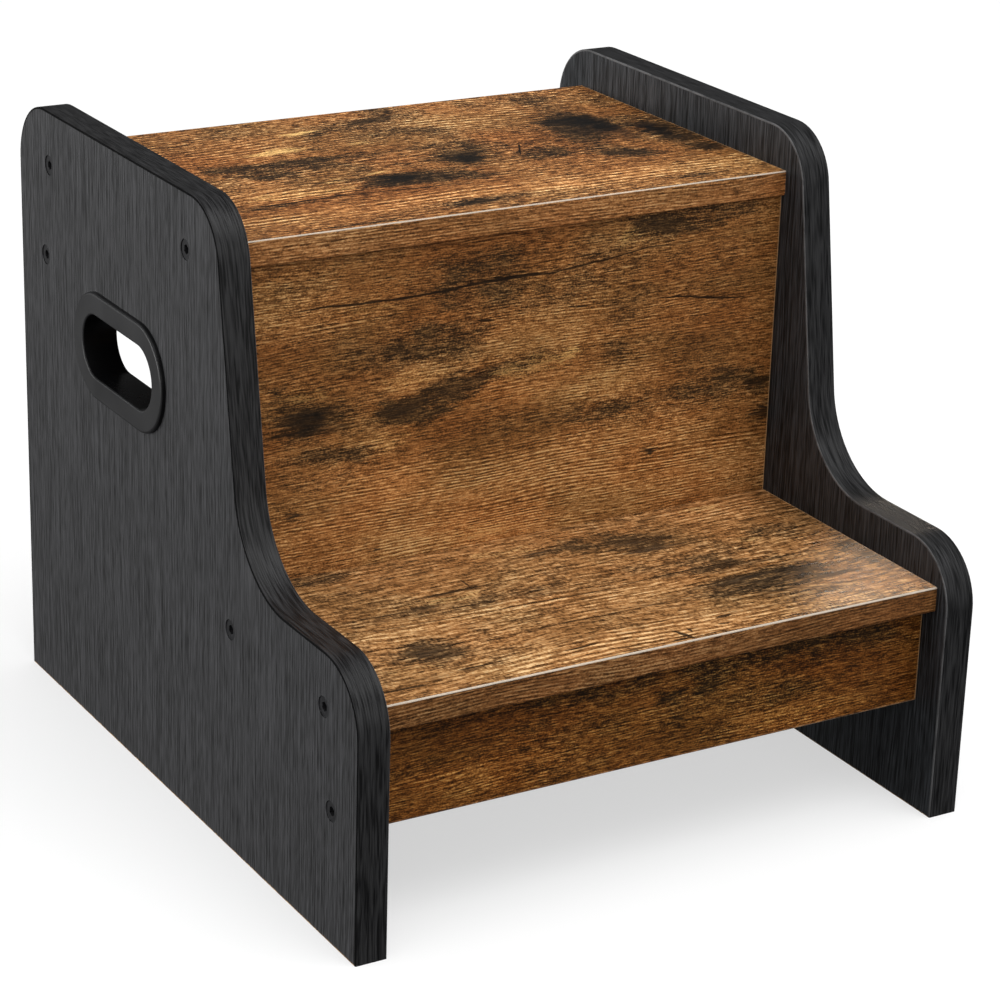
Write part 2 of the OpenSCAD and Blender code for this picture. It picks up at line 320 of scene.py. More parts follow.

# Marks placed on each board's show face, in millimetres along and across the grain:
# (along, across, half length, half width, turn in degrees, strength)
TOP_TREAD_MARKS = {
    "Smoke": [
        (-28, 30, 20, 10, -8, 0.85), (2, 25, 19, 8, -10, 0.75), (-46, 25, 12, 5, 0, 0.5),
        (17, 52, 14, 9, 0, 0.65), (27, 64, 4, 13, -12, 0.55), (5, 55, 9, 6, 0, 0.35),
        (55, 46, 17, 11, 20, 0.5), (-83, 58, 8, 4, 10, 0.75), (-95, 81, 16, 6, 0, 0.5),
        (-90, 70, 4, 11, 0, 0.35), (-50, 80, 8, 4, 0, 0.5), (-42, 77, 82, 4, 0, 0.35),
        (-60, 66, 40, 16, 0, 0.22), (-28, 120, 7, 5, 20, 0.55), (10, 132, 14, 5, 12, 0.6),
        (20, 147, 13, 8, 0, 0.45), (-71, 146, 4, 3, 0, 0.5), (-40, 95, 4, 2, 0, 0.5),
        (28, 104, 5, 4, 0, 0.3), (102, 130, 12, 16, 0, 0.35), (100, 88, 22, 16, -10, 0.55),
        (68, 76, 66, 36, 0, 0.2),
        (88, 62, 12, 18, -15, 0.45), (88, 34, 15, 12, -30, 0.5), (103, 22, 11, 5, 0, 0.5),
        (126, 60, 16, 30, 0, 0.4), (134, 22, 11, 9, 0, 0.6), (136, 90, 9, 60, 0, 0.25),
        (-17, -16, 46, 6, 2, 0.38), (-20, -15, 13, 5, 0, 0.55), (0, -14, 18, 4, 5, 0.3),
        (44, 2, 18, 7, 0, 0.32), (-80, -27, 28, 1.6, 0, 0.6), (96, -19, 16, 3, 0, 0.4),
        (-100, 14, 22, 3.5, 0, 0.5), (-30, 38, 50, 3, 0, 0.3), (98, 88, 17, 34, -8, 0.55),
        (94, 29, 14, 8, -10, 0.5), (133, 45, 11, 28, 0, 0.45), (-25, 32, 30, 9, -3, 0.3),
        (15, 55, 16, 13, 0, 0.35), (-70, 72, 45, 12, 0, 0.25), (-115, 118, 24, 20, 0, 0.3),
        (5, 118, 40, 20, 0, 0.25),
    ],
    "Soot": [
        (-30, 33, 8, 4, -5, 0.55), (-6, 25, 8, 3, 0, 0.35), (16, 22, 5, 3, 0, 0.45),
        (17, 50, 8, 6, 0, 0.62), (-84, 58, 4, 2, 10, 0.5), (-28, 119, 4, 2.5, 20, 0.4),
        (7, 131, 7, 2.5, 8, 0.45), (98, 90, 15, 9, -12, 0.75), (110, 76, 7, 11, -10, 0.75),
        (110, 57, 5, 10, 0, 0.6), (84, 96, 7, 3, 0, 0.45), (103, 107, 5, 4, 0, 0.55),
        (92, 74, 8, 9, 0, 0.4), (126, 72, 8, 6, -20, 0.72), (131, 60, 6, 9, 0, 0.9),
        (130, 48, 4, 8, 15, 0.6), (91, 28, 8, 5, -20, 0.35), (133, 22, 9, 5, 0, 0.45),
        (-18, -15, 7, 2.2, 0, 0.5), (139, -2, 2, 1.5, 0, 0.9), (97, -19, 4, 1.5, 0, 0.5),
        (107, -20, 3, 2.2, 30, 0.55), (87, -18, 3, 1.3, 0, 0.5), (119, 13, 4, 1.5, 20, 0.5),
        (104, 84, 9, 20, -6, 0.5), (124, 60, 7, 14, 8, 0.4), (-28, 31, 13, 6, -3, 0.4),
        (18, 52, 11, 9, 0, 0.35),
    ],
    "Pale": [
        (-61, 97, 19, 4, 6, 0.75), (-36, 123, 8, 2, 16, 0.85), (-17, 95, 6, 4, 0, 0.45),
        (-35, 45, 5, 2, 0, 0.7), (-85, 28, 34, 7, 0, 0.35), (118, 76, 4, 10, -25, 0.3),
        (-60, 40, 8, 4, 0, 0.3),
    ],
    "Clean": [
        (0, -5, 150, 13, 0, 1.0), (-85, 30, 40, 11, 0, 0.9), (60, 100, 26, 16, 0, 0.7),
        (119, 52, 8, 9, 0, 0.9), (55, 120, 40, 12, 0, 0.6), (-90, 110, 40, 18, 0, 0.5),
    ],
    "Crack": [
        (-68, 16.5, 52, 0.75, -1, 0.95), (-20, 14.5, 20, 0.6, -2, 0.7), (-55, 40, 38, 0.7, -2, 0.75),
        (28, 38.5, 44, 0.6, 0, 0.6), (48, 55, 14, 0.6, 62, 0.75), (92, 75, 52, 0.5, 0, 0.5),
        (-40, 74, 60, 0.5, 0, 0.45), (20, 98, 50, 0.4, 1, 0.3), (95, 12, 26, 0.5, 4, 0.4),
        (125, 45, 0.6, 9, -20, 0.5),
    ],
}
LOWER_TREAD_MARKS = {
    "Smoke": [
        (-97, -128, 13, 13, 0, 0.5), (-106, -34, 17, 7, 0, 0.6), (-113, -54, 7, 5, 0, 0.5),
        (-80, -48, 5, 5, 0, 0.5), (2, -52, 13, 4, 0, 0.5), (32, -50, 22, 9, -10, 0.5),
        (50, -60, 18, 10, 0, 0.55), (18, -56, 12, 6, 0, 0.4), (-95, -84, 28, 2.4, 0, 0.5),
        (-105, -88, 16, 2, 0, 0.4), (60, -100, 28, 4, 3, 0.55), (60, -88, 14, 8, -20, 0.45),
        (74, -105, 28, 4, 0, 0.5), (80, -120, 38, 7, 0, 0.6), (82, -131, 40, 5, 0, 0.5),
        (82, -145, 36, 6, 0, 0.28), (118, -76, 13, 8, 0, 0.6), (137, -118, 7, 16, 0, 0.6),
        (-60, -88, 40, 6, 0, 0.22), (-115, -128, 5, 10, 0, 0.35), (-58, -74, 18, 2.4, 0, 0.5),
        (0, -90, 70, 7, 0, 0.18), (-20, -128, 60, 4, 0, 0.22), (-84, -149, 12, 2.4, 0, 0.4),
        (60, -60, 26, 16, 0, 0.3), (80, -125, 44, 14, 0, 0.35), (-98, -126, 20, 18, 0, 0.2),
    ],
    "Soot": [
        (-97, -127.5, 8.5, 8.5, 0, 0.62), (-104, -35, 10, 3, 0, 0.4),
        (1, -52, 8, 2, 0, 0.7), (51, -70, 13, 3, 0, 0.6), (50, -60, 8, 5, 0, 0.4),
        (70, -117, 17, 3.0, 0, 0.62), (97, -119, 17, 2.2, 0, 0.6), (60, -121, 10, 2.0, 0, 0.5),
        (81, -124, 20, 1.6, 0, 0.55), (77, -129, 26, 1.6, 0, 0.55), (109, -132, 11, 2.4, 0, 0.45),
        (73, -136, 22, 1.3, 0, 0.45), (83, -112, 24, 1.2, 0, 0.4), (60, -107, 16, 1.0, 3, 0.35),
        (69, -141, 14, 1.0, 0, 0.4),
        (-80, -48, 2.5, 2.5, 0, 0.45), (84, -105, 18, 1.5, 0, 0.4), (-58, -74, 11, 1, 0, 0.55),
        (70, -99, 12, 1.4, 4, 0.5), (138, -122, 4, 7, 0, 0.45),
    ],
    "Pale": [
        (100, -38, 12, 4, 0, 0.5), (101, -80, 8, 3, 0, 0.4), (-60, -80, 22, 3, 0, 0.4),
        (-15, -44, 20, 7, 0, 0.25), (-115, -140, 22, 3, -12, 0.3),
    ],
    "Clean": [
        (-60, -100, 60, 5, 0, 0.7), (20, -112, 34, 9, 0, 0.8), (-20, -155, 90, 10, 0, 0.9),
        (-10, -38, 26, 9, 0, 0.6), (105, -45, 30, 12, 0, 0.7), (-105, -105, 24, 6, 0, 0.5),
    ],
    "Crack": [
        (-58, -73.5, 16, 0.9, 0, 1.0), (-47, -68, 0.7, 5, 0, 0.8), (0, -74, 60, 0.5, 0, 0.6),
        (-90, -98, 38, 0.6, -2, 0.7), (-25, -101, 44, 0.6, 0, 0.75), (52, -99.5, 34, 0.8, 2, 0.9),
        (-10, -126, 70, 0.5, 0, 0.6), (-37, -151, 10, 0.8, 0, 1.0), (10, -160, 1.4, 7, 20, 0.95),
        (6, -164, 5, 1.0, 0, 0.9), (15, -157, 0.9, 3, 0, 0.8), (37, -150, 5, 1.2, 5, 0.9),
        (-87, -149, 10, 0.8, 0, 0.8), (-128, -155, 15, 1.1, -3, 0.85), (-18, -164, 7, 0.8, 0, 0.7),
        (33, -157, 4, 0.8, 0, 0.8), (26, -164, 8, 0.7, 0, 0.7), (-95, -84, 30, 0.6, -3, 0.7),
        (-23, -89, 5, 1.0, 0, 0.8), (75, -138, 40, 0.5, 0, 0.4), (-96, -118, 18, 0.6, 12, 0.35),
    ],
}
TALL_RISER_MARKS = {
    "Smoke": [
        (-110, 187, 17, 11, 0, 0.85), (-92, 189, 14, 6, 8, 0.7), (-120, 199, 5, 6, 0, 0.5),
        (-60, 185, 13, 6, 0, 0.8), (-43, 188, 17, 8, 10, 0.75), (-22, 194, 16, 6, 14, 0.65),
        (-48, 179, 12, 5, 0, 0.5), (-45, 216, 28, 9, 0, 0.5), (-78, 212, 18, 7, 0, 0.3),
        (-20, 240, 30, 11, 0, 0.5), (-20, 252, 26, 6, 0, 0.35), (92, 257, 40, 7, 0, 0.55),
        (73, 256, 13, 6, 0, 0.45), (113, 172, 34, 8, 0, 0.45), (136, 168, 10, 5, 0, 0.55),
        (120, 177, 9, 5, 0, 0.4), (-95, 168, 24, 4.5, 0, 0.6), (57, 215, 9, 7, 0, 0.35),
        (54, 196, 9, 7, 0, 0.3), (73, 143, 8, 4.5, 0, 0.4), (-114, 143, 7, 4, 0, 0.45),
        (5, 199, 24, 5, 5, 0.25), (139, 153, 6, 8, 0, 0.5), (15, 170, 80, 4, 0, 0.22),
        (-100, 224, 24, 6, 0, 0.22), (40, 168, 24, 3, 0, 0.3), (100, 190, 20, 10, 0, 0.2),
        (10, 236, 110, 20, 0, 0.16), (60, 205, 30, 18, 0, 0.16), (-60, 206, 50, 8, 4, 0.2),
    ],
    "Soot": [
        (-110, 186, 12, 7, 0, 0.75), (-95, 190, 10, 3, 10, 0.5), (-100, 181, 14, 2, 0, 0.5),
        (-60, 185, 9, 3.4, 0, 0.55), (-43, 190, 10, 3, 10, 0.4), (-20, 195, 8, 3, 14, 0.3),
        (73, 143, 4.5, 2, -10, 0.95), (-114, 143, 4, 2, 0, 0.7), (-99, 143, 2.4, 1.6, 0, 0.4),
        (140, 153, 4, 4.5, 0, 0.75), (-73.5, 119, 1.5, 1.5, 0, 0.8), (-87, 159.5, 1.4, 1.2, 0, 0.8),
        (-43, 161, 1.7, 0.9, 0, 0.8), (24.5, 167, 1.2, 0.9, 0, 0.8), (118, 177, 6, 2.4, 0, 0.45),
        (136, 168, 8, 2.2, 0, 0.55), (75, 256, 8, 3.4, 0, 0.4), (92, 251, 10, 2, 0, 0.4),
        (-93, 168, 12, 1.6, 0, 0.4), (-80, 165, 3, 1.6, 0, 0.5),
    ],
    "Pale": [
        (-53, 199, 18, 4, 5, 0.35), (-68, 172, 10, 5, 0, 0.35), (5, 196, 24, 5, 5, 0.38),
        (30, 199, 4, 4, 0, 0.5), (60, 251, 6, 4, 0, 0.45), (-108, 200, 12, 4, 0, 0.3),
        (32, 182, 44, 6, 0, 0.25), (-18, 118, 26, 4, 0, 0.3), (-78, 236, 14, 3, 0, 0.25),
    ],
    "Clean": [
        (0, 134, 150, 26, 0, 1.0), (32, 184, 48, 9, 0, 0.9), (30, 212, 60, 12, 0, 0.7),
        (-53, 200, 20, 5, 5, 0.8), (-68, 172, 12, 6, 0, 0.8), (-100, 236, 40, 12, 0, 0.5),
    ],
    "Crack": [
        (-60, 238.6, 62, 0.65, 0.5, 0.9), (-6, 239, 26, 0.9, -1, 0.9), (42, 242, 32, 0.6, 7, 0.75),
        (100, 245.5, 44, 0.5, 0, 0.5), (103, 217, 30, 0.6, -6, 0.85), (-17, 221, 5, 0.7, -8, 0.9),
        (32, 221, 7, 0.6, -3, 0.7), (100, 160, 12, 0.5, -45, 0.3), (-20, 170, 70, 0.5, 0, 0.4),
        (20, 172, 120, 0.4, 0, 0.35), (-40, 150, 90, 0.4, 0, 0.3),
    ],
}
FRONT_RISER_MARKS = {
    "Smoke": [
        (7, 83, 7, 4, 0, 0.5), (26, 85, 7, 5, 0, 0.5), (12, 72, 5, 4, 0, 0.5), (30, 60, 10, 6, 0, 0.3),
        (72, 73, 16, 6, 0, 0.35), (-70, 80, 40, 8, 0, 0.2), (90, 90, 50, 8, 0, 0.35),
        # The long band (0, 96, 150, 7) along the riser's top is painted shade under the lower tread's
        # overhang
        (-60, 62, 12, 7, 0, 0.2), (0, 96, 150, 7, 0, 0.35),
    ],
    "Soot": [(7, 83, 2.6, 1.4, 0, 0.6), (26, 85, 3.4, 2.4, 0, 0.5), (12, 72, 2.4, 1.6, 0, 0.6)],
    "Pale": [(70, 61, 40, 3, 2, 0.25)],
    "Clean": [(-100, 64, 40, 9, 0, 0.5), (80, 60, 50, 6, 0, 0.6)],
    "Crack": [(-40, 78, 60, 0.4, 0, 0.3)],
}


def place_marks(graph, warp, marks, kind):
    """The strengths of all marks of one kind, added up."""
    shown = []
    for along, across, half_length, half_width, turn, strength in marks.get(kind, []):
        node = graph.add("ShaderNodeGroup", node_tree=MARK_GROUP)
        graph.put(node.inputs["Place"], warp["Line" if kind == "Crack" else "Blot"])
        graph.put(node.inputs["Centre"], (along, across, 0.0))
        graph.put(node.inputs["Size"], (half_length, half_width, 1.0))
        graph.put(node.inputs["Turn"], math.radians(turn))
        graph.put(node.inputs["Strength"], strength)
        shown.append(node.outputs[0])
    return graph.sum(shown) if shown else 0.0


WOOD_SPECULAR = 0.28
WOOD_BUMP = 0.015 * MM
MIDDLE_BROWN = 0.14
# The treads' print is broader across the grain
TREAD_GRAIN = (0.85, 0.4, 1.0)
# A pale line where a board's end meets a side panel; its width in millimetres
BOARD_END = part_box("top_tread")[1].x * PER_METRE
END_LINE = 0.5
END_COLOUR = srgb(176, 140, 100)
END_STRENGTH = 0.6
# Through the board the print moves on by FACE_SHIFT every FACE_STEP millimetres, so that its two
# faces differ
FACE_STEP, FACE_SHIFT = 9.0, 37.0


def set_tone(graph, colour, cast, contrast):
    """Stretches a print about its middle brown, and multiplies it by cast, a gain per colour."""
    stretched = graph.add("ShaderNodeGamma", {"Color": colour, "Gamma": contrast}).outputs[0]
    gain = MIDDLE_BROWN ** (1.0 - contrast)
    return graph.mix(1.0, stretched, tuple(gain * part for part in cast) + (1.0,), "MULTIPLY")


def shifted_by_face(graph, deep, step, shift):
    """A place in the print that jumps by shift every step millimetres through the board."""
    layer = graph.math("ROUND", graph.math("DIVIDE", deep, step))
    return graph.math("MULTIPLY", layer, shift)


def rustic_wood(name, upright, seed, cast, contrast, roughness, marks, show_side):
    """Rustic printed laminate with its grain along X. Across the grain is Z on an upright board
    and Y on a flat one. The marks show on one face only: show_side is a level inside the board, in
    millimetres, and they are in front of it on an upright board and above it on a flat one."""
    material, graph, shader, place = new_material(name)
    x, y, z = graph.split(place)
    across, deep = (z, y) if upright else (y, z)
    layer = shifted_by_face(graph, deep, FACE_STEP, FACE_SHIFT)
    flat = graph.xyz(x, across, graph.math("ADD", layer, seed))
    values = {"Place": flat if upright else graph.vector("MULTIPLY", flat, TREAD_GRAIN)}
    if marks:
        warp = graph.add("ShaderNodeGroup", {"Place": flat}, node_tree=WARP_GROUP).outputs
        side = (
            graph.math("LESS_THAN", deep, show_side) if upright
            else graph.math("GREATER_THAN", deep, show_side)
        )
        for kind in KINDS:
            values[kind] = graph.math("MULTIPLY", place_marks(graph, warp, marks, kind), side)
    wood = graph.add("ShaderNodeGroup", values, node_tree=PRINT_GROUP).outputs
    end = graph.math("GREATER_THAN", graph.math("ABSOLUTE", x), BOARD_END - END_LINE)
    colour = set_tone(graph, wood["Color"], cast, contrast)
    colour = graph.mix(graph.math("MULTIPLY", end, END_STRENGTH), colour, END_COLOUR)
    graph.put(shader.inputs["Base Color"], colour)
    graph.put(shader.inputs["Roughness"], graph.math("ADD", wood["Roughness"], roughness))
    shader.inputs["Specular IOR Level"].default_value = WOOD_SPECULAR
    add_bump(graph, shader, wood["Height"], WOOD_BUMP)
    return material


ARRIS_WEAR_AND_HIGHLIGHT = srgb(216, 205, 188)
BAND_ROUGHNESS = 0.36
BAND_CAST, BAND_CONTRAST = (1.03, 0.87, 0.72), 0.85
BAND_CLEAN, BAND_SMOKE = 0.6, 0.12


def rustic_band(name, seed, tone, corner_across, corner_deep, upright, width, strength):
    """A wood-look edge band: fine straight grain, and a pale line on its arris, partly its trimmed-back
    edge and partly a painted highlight.
    The line follows the corner at (corner_across, corner_deep), and is about width millimetres wide."""
    material, graph, shader, place = new_material(name)
    x, y, z = graph.split(place)
    across, deep = (z, y) if upright else (y, z)
    flat = graph.xyz(x, across, seed)
    wood = graph.add(
        "ShaderNodeGroup", {"Place": flat, "Clean": BAND_CLEAN, "Smoke": BAND_SMOKE},
        node_tree=PRINT_GROUP,
    ).outputs
    gap_across = graph.math("ABSOLUTE", graph.math("SUBTRACT", across, corner_across))
    gap_deep = graph.math("ABSOLUTE", graph.math("SUBTRACT", deep, corner_deep))
    gap = graph.math("MAXIMUM", gap_across, gap_deep)
    wobble = graph.noise(flat, (9, 2, 40), 3.0, 0.6)
    ragged = graph.math("ADD", graph.math("MULTIPLY", wobble, 0.5), 0.7)
    line = graph.math("LESS_THAN", gap, graph.math("MULTIPLY", ragged, width))
    cast = tuple(tone * part for part in BAND_CAST)
    colour = set_tone(graph, wood["Color"], cast, BAND_CONTRAST)
    # The pale arris line: partly the trimmed-back edge, partly a painted highlight
    colour = graph.mix(graph.math("MULTIPLY", line, strength), colour, ARRIS_WEAR_AND_HIGHLIGHT)
    graph.put(shader.inputs["Base Color"], colour)
    graph.put(shader.inputs["Roughness"], graph.math("ADD", wood["Roughness"], BAND_ROUGHNESS))
    shader.inputs["Specular IOR Level"].default_value = WOOD_SPECULAR
    add_bump(graph, shader, wood["Height"], WOOD_BUMP)
    return material


# ---------------------------------------------------------------- black laminate, bands and fittings
LAMINATE_DARK = srgb(5, 5, 6)
LAMINATE_LIGHT = srgb(68, 68, 70)
# Painted shade on the sides that face the treads: darker and cooler, to answer the warm light they
# throw back
INNER_SHADE_CAST = (0.74, 0.80, 0.84, 1.0)
CHIPS = [(0.0, srgb(96, 70, 44)), (0.5, srgb(150, 116, 78)), (1.0, srgb(196, 164, 122))]
# The chipboard shows below this height, and its chips are this many to the millimetre
CHIP_LEVEL, CHIP_SCALE = 0.4, 0.45
# The same steps through a side panel
PANEL_STEP, PANEL_SHIFT = 12.0, 31.0
# How far past a panel's inner face, in millimetres, its painted shade reaches
INNER_REACH = 1.0
LAMINATE_SPECULAR = 0.35
LAMINATE_BUMP = 0.2 * MM


def black_laminate():
    """Side panels: black laminate with an upright grain, painted shade on their inner sides, and raw
    chipboard under their feet.
    """
    material, graph, shader, place = new_material("black_laminate")
    x, y, z = graph.split(place)
    along = graph.xyz(z, y, shifted_by_face(graph, x, PANEL_STEP, PANEL_SHIFT))
    wave = graph.noise(along, (90, 30, 60), 1.0)
    wave = graph.math("MULTIPLY", graph.math("SUBTRACT", wave, 0.5), 4.0)
    grain = graph.vector("ADD", along, graph.xyz(0.0, wave, 0.0))
    lines = graph.span(graph.noise(grain, (60, 0.95, 40), 1.0), 0.36, 0.64)
    pores = graph.span(graph.noise(grain, (11, 0.8, 40), 1.0), 0.36, 0.64)
    bands = graph.noise(grain, (160, 7, 40), 2.0, 0.5)
    shade = graph.sum([
        graph.math("MULTIPLY", lines, 0.62), graph.math("MULTIPLY", bands, 0.1),
        graph.math("MULTIPLY", pores, 0.5), -0.14,
    ])
    colour = graph.mix(shade, LAMINATE_DARK, LAMINATE_LIGHT)
    inside = graph.math("LESS_THAN", graph.math("ABSOLUTE", x), PANEL_IN_X + INNER_REACH)
    # Painted shade: the inner sides are multiplied darker and cooler
    colour = graph.mix(inside, colour, graph.mix(1.0, colour, INNER_SHADE_CAST, "MULTIPLY"))
    chip = graph.add("ShaderNodeTexVoronoi", {"Vector": place, "Scale": CHIP_SCALE}, feature="F1")
    chips = graph.ramp(graph.split(chip.outputs["Color"])[0], CHIPS)
    colour = graph.mix(graph.math("LESS_THAN", z, CHIP_LEVEL), colour, chips)
    graph.put(shader.inputs["Base Color"], colour)
    graph.put(shader.inputs["Roughness"], graph.span(shade, 0.0, 1.0, 0.70, 0.42))
    shader.inputs["Specular IOR Level"].default_value = LAMINATE_SPECULAR
    relief = graph.math("ADD", lines, graph.math("MULTIPLY", pores, 0.4))
    add_bump(graph, shader, relief, LAMINATE_BUMP)
    return material


BAND_BLACK = srgb(15, 15, 16)
BAND_GREY = srgb(51, 51, 52)
SEAM_BLACK = srgb(6, 6, 6)
BAND_ARRIS_HIGHLIGHT = srgb(104, 104, 105)
SEAM_SPECULAR = 0.1
# Width of the painted highlight on the inner arris, in millimetres
ARRIS_HIGHLIGHT_WIDTH = 0.28
BLACK_BAND_SPECULAR = 0.22
BLACK_BAND_BUMP = 0.1 * MM


def black_band():
    """Black edge band of the side panels: fine lines along it, and a painted highlight, a lighter line,
    on its inner arris.
    """
    material, graph, shader, place = new_material("black_edge_band")
    lines = graph.span(graph.noise(place, (0.75, 14, 14), 1.0), 0.34, 0.66)
    broad = graph.noise(place, (2.4, 60, 60), 2.0, 0.5)
    shade = graph.sum([graph.math("MULTIPLY", lines, 0.85), graph.math("MULTIPLY", broad, 0.3)])
    colour = graph.mix(graph.math("SUBTRACT", shade, 0.12, clamp=True), BAND_BLACK, BAND_GREY)
    side = graph.math("ABSOLUTE", graph.split(place)[0])
    # Painted highlight: a lighter line along the inner arris, broken up by noise
    inner = graph.math("LESS_THAN", side, PANEL_IN_X + ARRIS_HIGHLIGHT_WIDTH)
    patch_noise = graph.noise(place, (3, 9, 9), 3.0, 0.6)
    arris_highlight = graph.math("MULTIPLY", inner, graph.span(patch_noise, 0.35, 0.6, 0.35, 0.8))
    colour = graph.mix(arris_highlight, colour, BAND_ARRIS_HIGHLIGHT)
    graph.put(shader.inputs["Base Color"], colour)
    graph.put(shader.inputs["Roughness"], graph.span(lines, 0.0, 1.0, 0.34, 0.46))
    shader.inputs["Specular IOR Level"].default_value = BLACK_BAND_SPECULAR
    add_bump(graph, shader, lines, BLACK_BAND_BUMP)
    return material


def seam_shadow():
    """Painted shade along the seam on the outer side of a panel's band, mottled by noise."""
    material, graph, shader, place = new_material("dark_seam")
    seam_mottle = graph.noise(place, (4, 4, 4), 3.0, 0.6)
    colour = graph.mix(graph.span(seam_mottle, 0.45, 0.75), SEAM_BLACK, LAMINATE_DARK)
    graph.put(shader.inputs["Base Color"], colour)
    graph.put(shader.inputs["Roughness"], graph.span(seam_mottle, 0.3, 0.7, 0.7, 0.9))
    shader.inputs["Specular IOR Level"].default_value = SEAM_SPECULAR
    return material


SLEEVE_SHADE_BLACK = srgb(10, 10, 11)
PLASTIC_DARK, PLASTIC_LIGHT = srgb(25, 25, 26), srgb(39, 39, 40)
PLASTIC_SPECULAR = 0.4
FINE_BUMP = 0.02 * MM
# Behind this the grommet is the polished sleeve in the slot, painted near black as shade, and before it
# the grained flange
FLANGE_DEPTH = 0.75
FLANGE_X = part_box("handle_grommet_right")[1].x * PER_METRE - FLANGE_DEPTH


def moulded_plastic():
    """Grommet: black moulded plastic with a fine spark-eroded grain, its sleeve in the slot painted
    darker as shade.
    """
    material, graph, shader, place = new_material("moulded_black_plastic")
    grain = graph.noise(place, (0.45, 0.45, 0.45), 3.0, 0.6)
    cloud = graph.noise(place, (24, 24, 24), 3.0, 0.5)
    shade = graph.sum([graph.math("MULTIPLY", grain, 0.5), graph.math("MULTIPLY", cloud, 0.5)])
    colour = graph.mix(graph.span(shade, 0.3, 0.7), PLASTIC_DARK, PLASTIC_LIGHT)
    side = graph.math("ABSOLUTE", graph.split(place)[0])
    outside = graph.math("GREATER_THAN", side, FLANGE_X)
    # Painted shade: the sleeve inside the slot is near black
    colour = graph.mix(outside, SLEEVE_SHADE_BLACK, colour)
    graph.put(shader.inputs["Base Color"], colour)
    rough = graph.span(cloud, 0.3, 0.7, 0.40, 0.50)
    polish = graph.span(outside, 1.0, 0.0, 0.0, 0.15)
    graph.put(shader.inputs["Roughness"], graph.math("SUBTRACT", rough, polish))
    shader.inputs["Specular IOR Level"].default_value = PLASTIC_SPECULAR
    add_bump(graph, shader, grain, FINE_BUMP)
    return material


STEEL_DARK, STEEL_RUBBED = srgb(24, 24, 25), srgb(56, 56, 58)
STEEL_METALLIC = 0.25


def black_steel():
    """Screws: blackened steel, rubbed a little brighter in patches."""
    material, graph, shader, place = new_material("blackened_steel")
    patch_noise = graph.noise(place, (1.6, 1.6, 1.6), 4.0, 0.65)
    colour = graph.mix(graph.span(patch_noise, 0.35, 0.72), STEEL_DARK, STEEL_RUBBED)
    graph.put(shader.inputs["Base Color"], colour)
    shader.inputs["Metallic"].default_value = STEEL_METALLIC
    graph.put(shader.inputs["Roughness"], graph.span(patch_noise, 0.35, 0.7, 0.42, 0.28))
    add_bump(graph, shader, patch_noise, FINE_BUMP)
    return material


BEECH_DARK, BEECH_LIGHT = srgb(190, 150, 104), srgb(226, 192, 146)
FLECK_COLOUR = srgb(140, 98, 60)
BEECH_BUMP = 0.05 * MM


def beech_dowel():
    """Dowels: plain beech with short dark flecks along X."""
    material, graph, shader, place = new_material("beech_dowel")
    fibres = graph.noise(place, (14, 0.7, 0.7), 3.0, 0.6)
    flecks = graph.span(graph.noise(place, (2.2, 0.35, 0.35), 1.0), 0.62, 0.70, 0.0, 0.6)
    colour = graph.mix(graph.span(fibres, 0.3, 0.7), BEECH_DARK, BEECH_LIGHT)
    colour = graph.mix(flecks, colour, FLECK_COLOUR)
    graph.put(shader.inputs["Base Color"], colour)
    graph.put(shader.inputs["Roughness"], graph.span(fibres, 0.3, 0.7, 0.66, 0.54))
    add_bump(graph, shader, fibres, BEECH_BUMP)
    return material


# ---------------------------------------------------------------- rounded edge bands
WELD = 0.002 * MM
FLAT_ANGLE = math.radians(0.5)
SHARP_ANGLE = math.radians(40)
# Two places closer than this along an axis are in one plane
NEAR = 0.1 * MM


def welded_copy(node):
    """A copy of a CAD node's mesh in bmesh: corners joined, and triangles made into flat quads."""
    mesh = bmesh.new()
    mesh.from_mesh(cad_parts[node].data)
    bmesh.ops.remove_doubles(mesh, verts=mesh.verts, dist=WELD)
    bmesh.ops.join_triangles(
        mesh, faces=mesh.faces, angle_face_threshold=FLAT_ANGLE, angle_shape_threshold=math.pi
    )
    return mesh


def finish_piece(mesh, name, node, materials):
    """Turns a bmesh into a piece that stands for a CAD node."""
    data = bpy.data.meshes.new(name)
    mesh.to_mesh(data)
    mesh.free()
    for material in materials:
        data.materials.append(material)
    data.shade_smooth()
    data.set_sharp_from_angle(angle=SHARP_ANGLE)
    piece = bpy.data.objects.new(name, data)
    bpy.context.scene.collection.objects.link(piece)
    weighted = piece.modifiers.new("even_normals", "WEIGHTED_NORMAL")
    weighted.keep_sharp = True
    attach(piece, "root")
    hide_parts(node)


def round_edges(mesh, edges, radius, segments=3):
    bmesh.ops.bevel(
        mesh, geom=edges, offset=radius, offset_type="OFFSET", segments=segments, profile=0.5,
        affect="EDGES", clamp_overlap=True,
    )


def round_straight_band(node, outward, material):
    """A straight band glued to a board: its outer arrises rounded, those at the glue line eased."""
    mesh = welded_copy(node)
    outward = Vector(outward)
    reach = [vertex.co.dot(outward) for vertex in mesh.verts]
    outer, inner = max(reach), min(reach)

    def long_edges_at(level):
        return [
            edge for edge in mesh.edges
            if all(abs(vertex.co.dot(outward) - level) < BAND_T / 4 for vertex in edge.verts)
            and abs((edge.verts[0].co - edge.verts[1].co).normalized().x) > 0.9
        ]

    round_edges(mesh, long_edges_at(outer), ARRIS_R)
    round_edges(mesh, long_edges_at(inner), SEAM_R, 1)
    finish_piece(mesh, node + "_rounded", node, [material])


